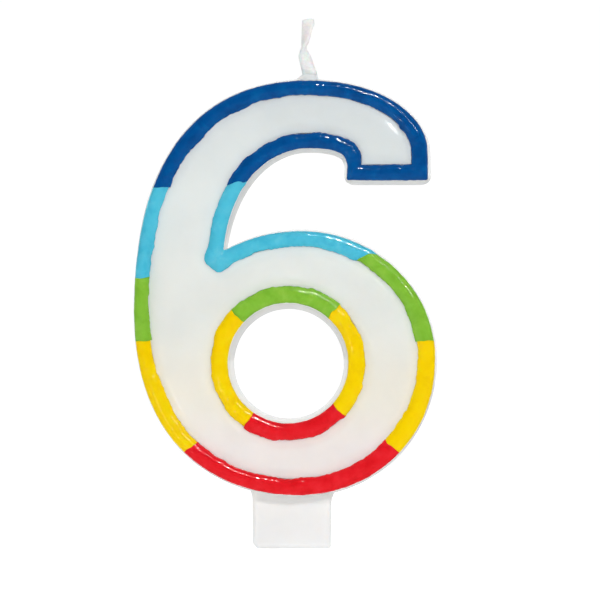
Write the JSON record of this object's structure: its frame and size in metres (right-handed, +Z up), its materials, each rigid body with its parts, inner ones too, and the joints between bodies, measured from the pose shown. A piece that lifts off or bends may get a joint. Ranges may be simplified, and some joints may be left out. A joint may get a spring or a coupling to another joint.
{
  "type": "number birthday candle",
  "caption": "Moulded wax numeral six candle with a raised coloured outline, a flat tab that pushes into a cake, and a short wick on top.",
  "frame": {"origin": "centre of the tab's flat end, the face that goes into the cake", "axes": "+Z up through the digit towards the wick, -Y out of the digit's face, +X to the right as the digit is read"},
  "size_m": [0.054, 0.0091, 0.0931],
  "materials": {
    "white_wax": "smooth white paraffin wax, satin, slightly see-through at its edges",
    "dark_blue_wax": "glossy coloured wax",
    "light_blue_wax": "glossy coloured wax",
    "green_wax": "glossy coloured wax",
    "yellow_wax": "glossy coloured wax",
    "red_wax": "glossy coloured wax",
    "wick_cotton": "waxed cotton braid"
  },
  "bodies": {
    "candle": {"wax_body": "white_wax", "outline_blue": "dark_blue_wax", "outline_light_blue_stem": "light_blue_wax", "outline_light_blue_bowl": "light_blue_wax", "outline_green_left": "green_wax", "outline_green_right": "green_wax", "outline_yellow_left": "yellow_wax", "outline_yellow_right": "yellow_wax", "outline_red": "red_wax", "counter_green": "green_wax", "counter_yellow_left": "yellow_wax", "counter_yellow_right": "yellow_wax", "counter_red": "red_wax", "wick_core": "wick_cotton"},
    "wick_end": {"wick_free_end": "wick_cotton"}
  },
  "joints": [
    {"name": "wick_bend", "type": "hinge", "parent": "candle", "child": "wick_end", "pos_m": [0.0029, -0.0012, 0.0832], "axis": [0, 1, 0], "range_deg": [-40, 40]}
  ]
}
